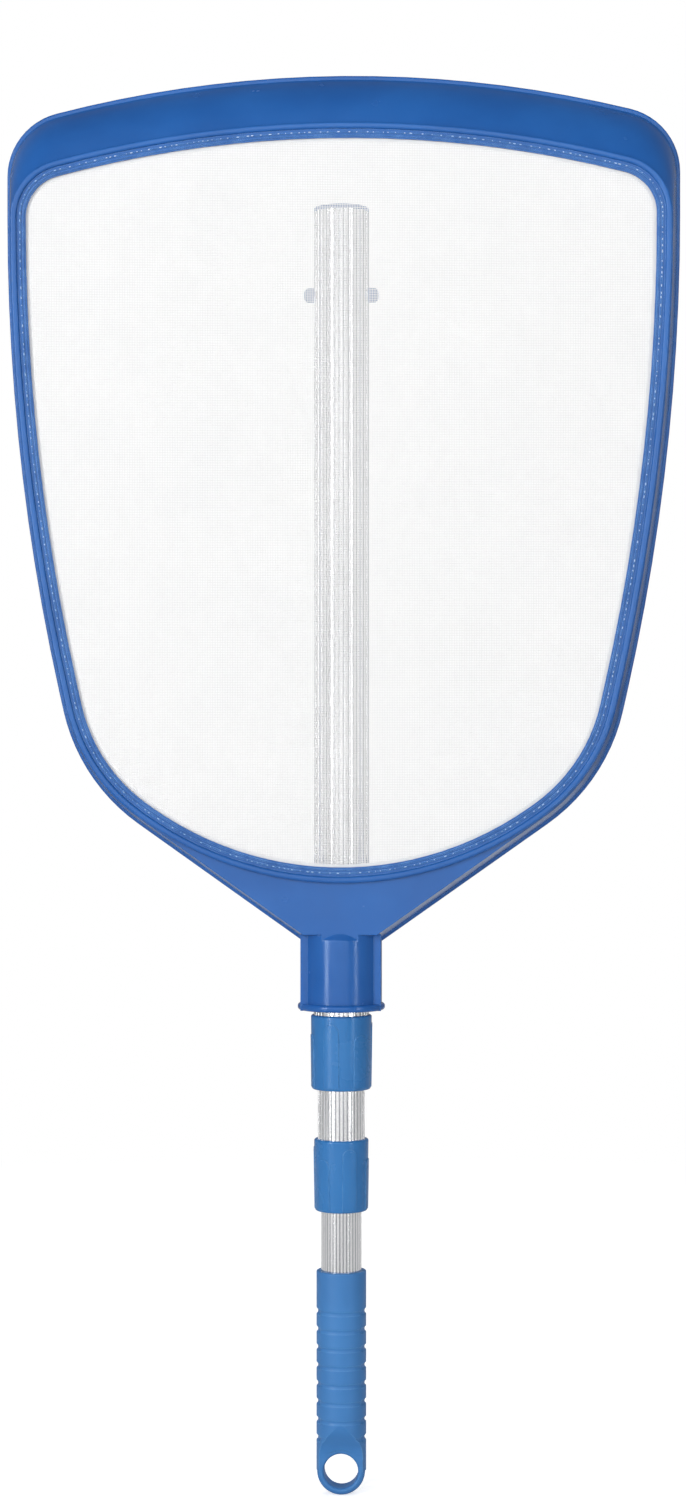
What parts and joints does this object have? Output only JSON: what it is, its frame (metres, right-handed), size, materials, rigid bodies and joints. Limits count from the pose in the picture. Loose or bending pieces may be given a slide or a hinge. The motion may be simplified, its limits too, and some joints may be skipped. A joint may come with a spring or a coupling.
{
  "type": "leaf skimmer net",
  "caption": "Flat leaf skimmer with a shallow moulded tray frame, a fine stretched net and a twist-lock telescopic pole that stores through its socket.",
  "frame": {"origin": "centre of the hanging eye, on the pole's axis", "axes": "+Z along the pole from the eye to the net, +X across the net, -Y the way the net's covered side faces"},
  "size_m": [0.3696, 0.0474, 0.7747],
  "materials": {
    "frame_plastic": "glossy moulded blue",
    "collar_plastic": "satin moulded blue",
    "grip_plastic": "soft matte blue",
    "lock_plastic": "natural moulded plastic",
    "tip_plastic": "satin moulded blue",
    "tube_aluminium": "bright drawn, fluted",
    "small_steel": "zinc plated",
    "net_nylon": "fine white nylon weave"
  },
  "bodies": {
    "handle": {"grip": "grip_plastic", "handle_end_plug": "lock_plastic", "tube_3": "tube_aluminium", "cam_plug_3": "lock_plastic", "plug_pin_3": "small_steel", "lock_washer_3": "small_steel", "lock_screw_3": "small_steel"},
    "lower_lock_ring": {"lock_ring_3": "lock_plastic"},
    "middle_tube": {"tube_2": "tube_aluminium", "collar_2": "collar_plastic", "guide_bush_2": "lock_plastic", "cam_plug_2": "lock_plastic", "plug_pin_2": "small_steel", "lock_washer_2": "small_steel", "lock_screw_2": "small_steel"},
    "upper_lock_ring": {"lock_ring_2": "lock_plastic"},
    "outer_tube": {"tube_1": "tube_aluminium", "collar_1": "collar_plastic", "guide_bush_1": "lock_plastic", "tip_plug": "tip_plastic", "button_spring": "small_steel"},
    "right_button": {"snap_button_right": "tip_plastic"},
    "left_button": {"snap_button_left": "tip_plastic"},
    "head": {"head_frame": "frame_plastic", "mesh_hoop": "frame_plastic", "net_mesh": "net_nylon"}
  },
  "joints": [
    {"name": "lower_twist", "type": "hinge", "parent": "handle", "child": "lower_lock_ring", "pos_m": [0, 0, 0.5602], "axis": [0, 0, 1], "range_deg": [0, 90]},
    {"name": "lower_slide", "type": "slide", "parent": "lower_lock_ring", "child": "middle_tube", "axis": [0, 0, 1], "range_m": [0, 0.3464]},
    {"name": "upper_twist", "type": "hinge", "parent": "middle_tube", "child": "upper_lock_ring", "pos_m": [0, 0, 0.6136], "axis": [0, 0, 1], "range_deg": [0, 90]},
    {"name": "upper_slide", "type": "slide", "parent": "upper_lock_ring", "child": "outer_tube", "axis": [0, 0, 1], "range_m": [0, 0.3337]},
    {"name": "right_button_press", "type": "slide", "parent": "outer_tube", "child": "right_button", "axis": [-1, 0, 0], "range_m": [0, 0.0048], "stiffness_N_per_m": 1500, "springref_m": -0.001, "deforming": ["button_spring"]},
    {"name": "left_button_press", "type": "slide", "parent": "outer_tube", "child": "left_button", "axis": [1, 0, 0], "range_m": [0, 0.0048], "stiffness_N_per_m": 1500, "springref_m": -0.001, "deforming": ["button_spring"]},
    {"name": "head_slide", "type": "slide", "parent": "outer_tube", "child": "head", "axis": [0, 0, 1], "range_m": [-0.0024, 0.3709]}
  ]
}
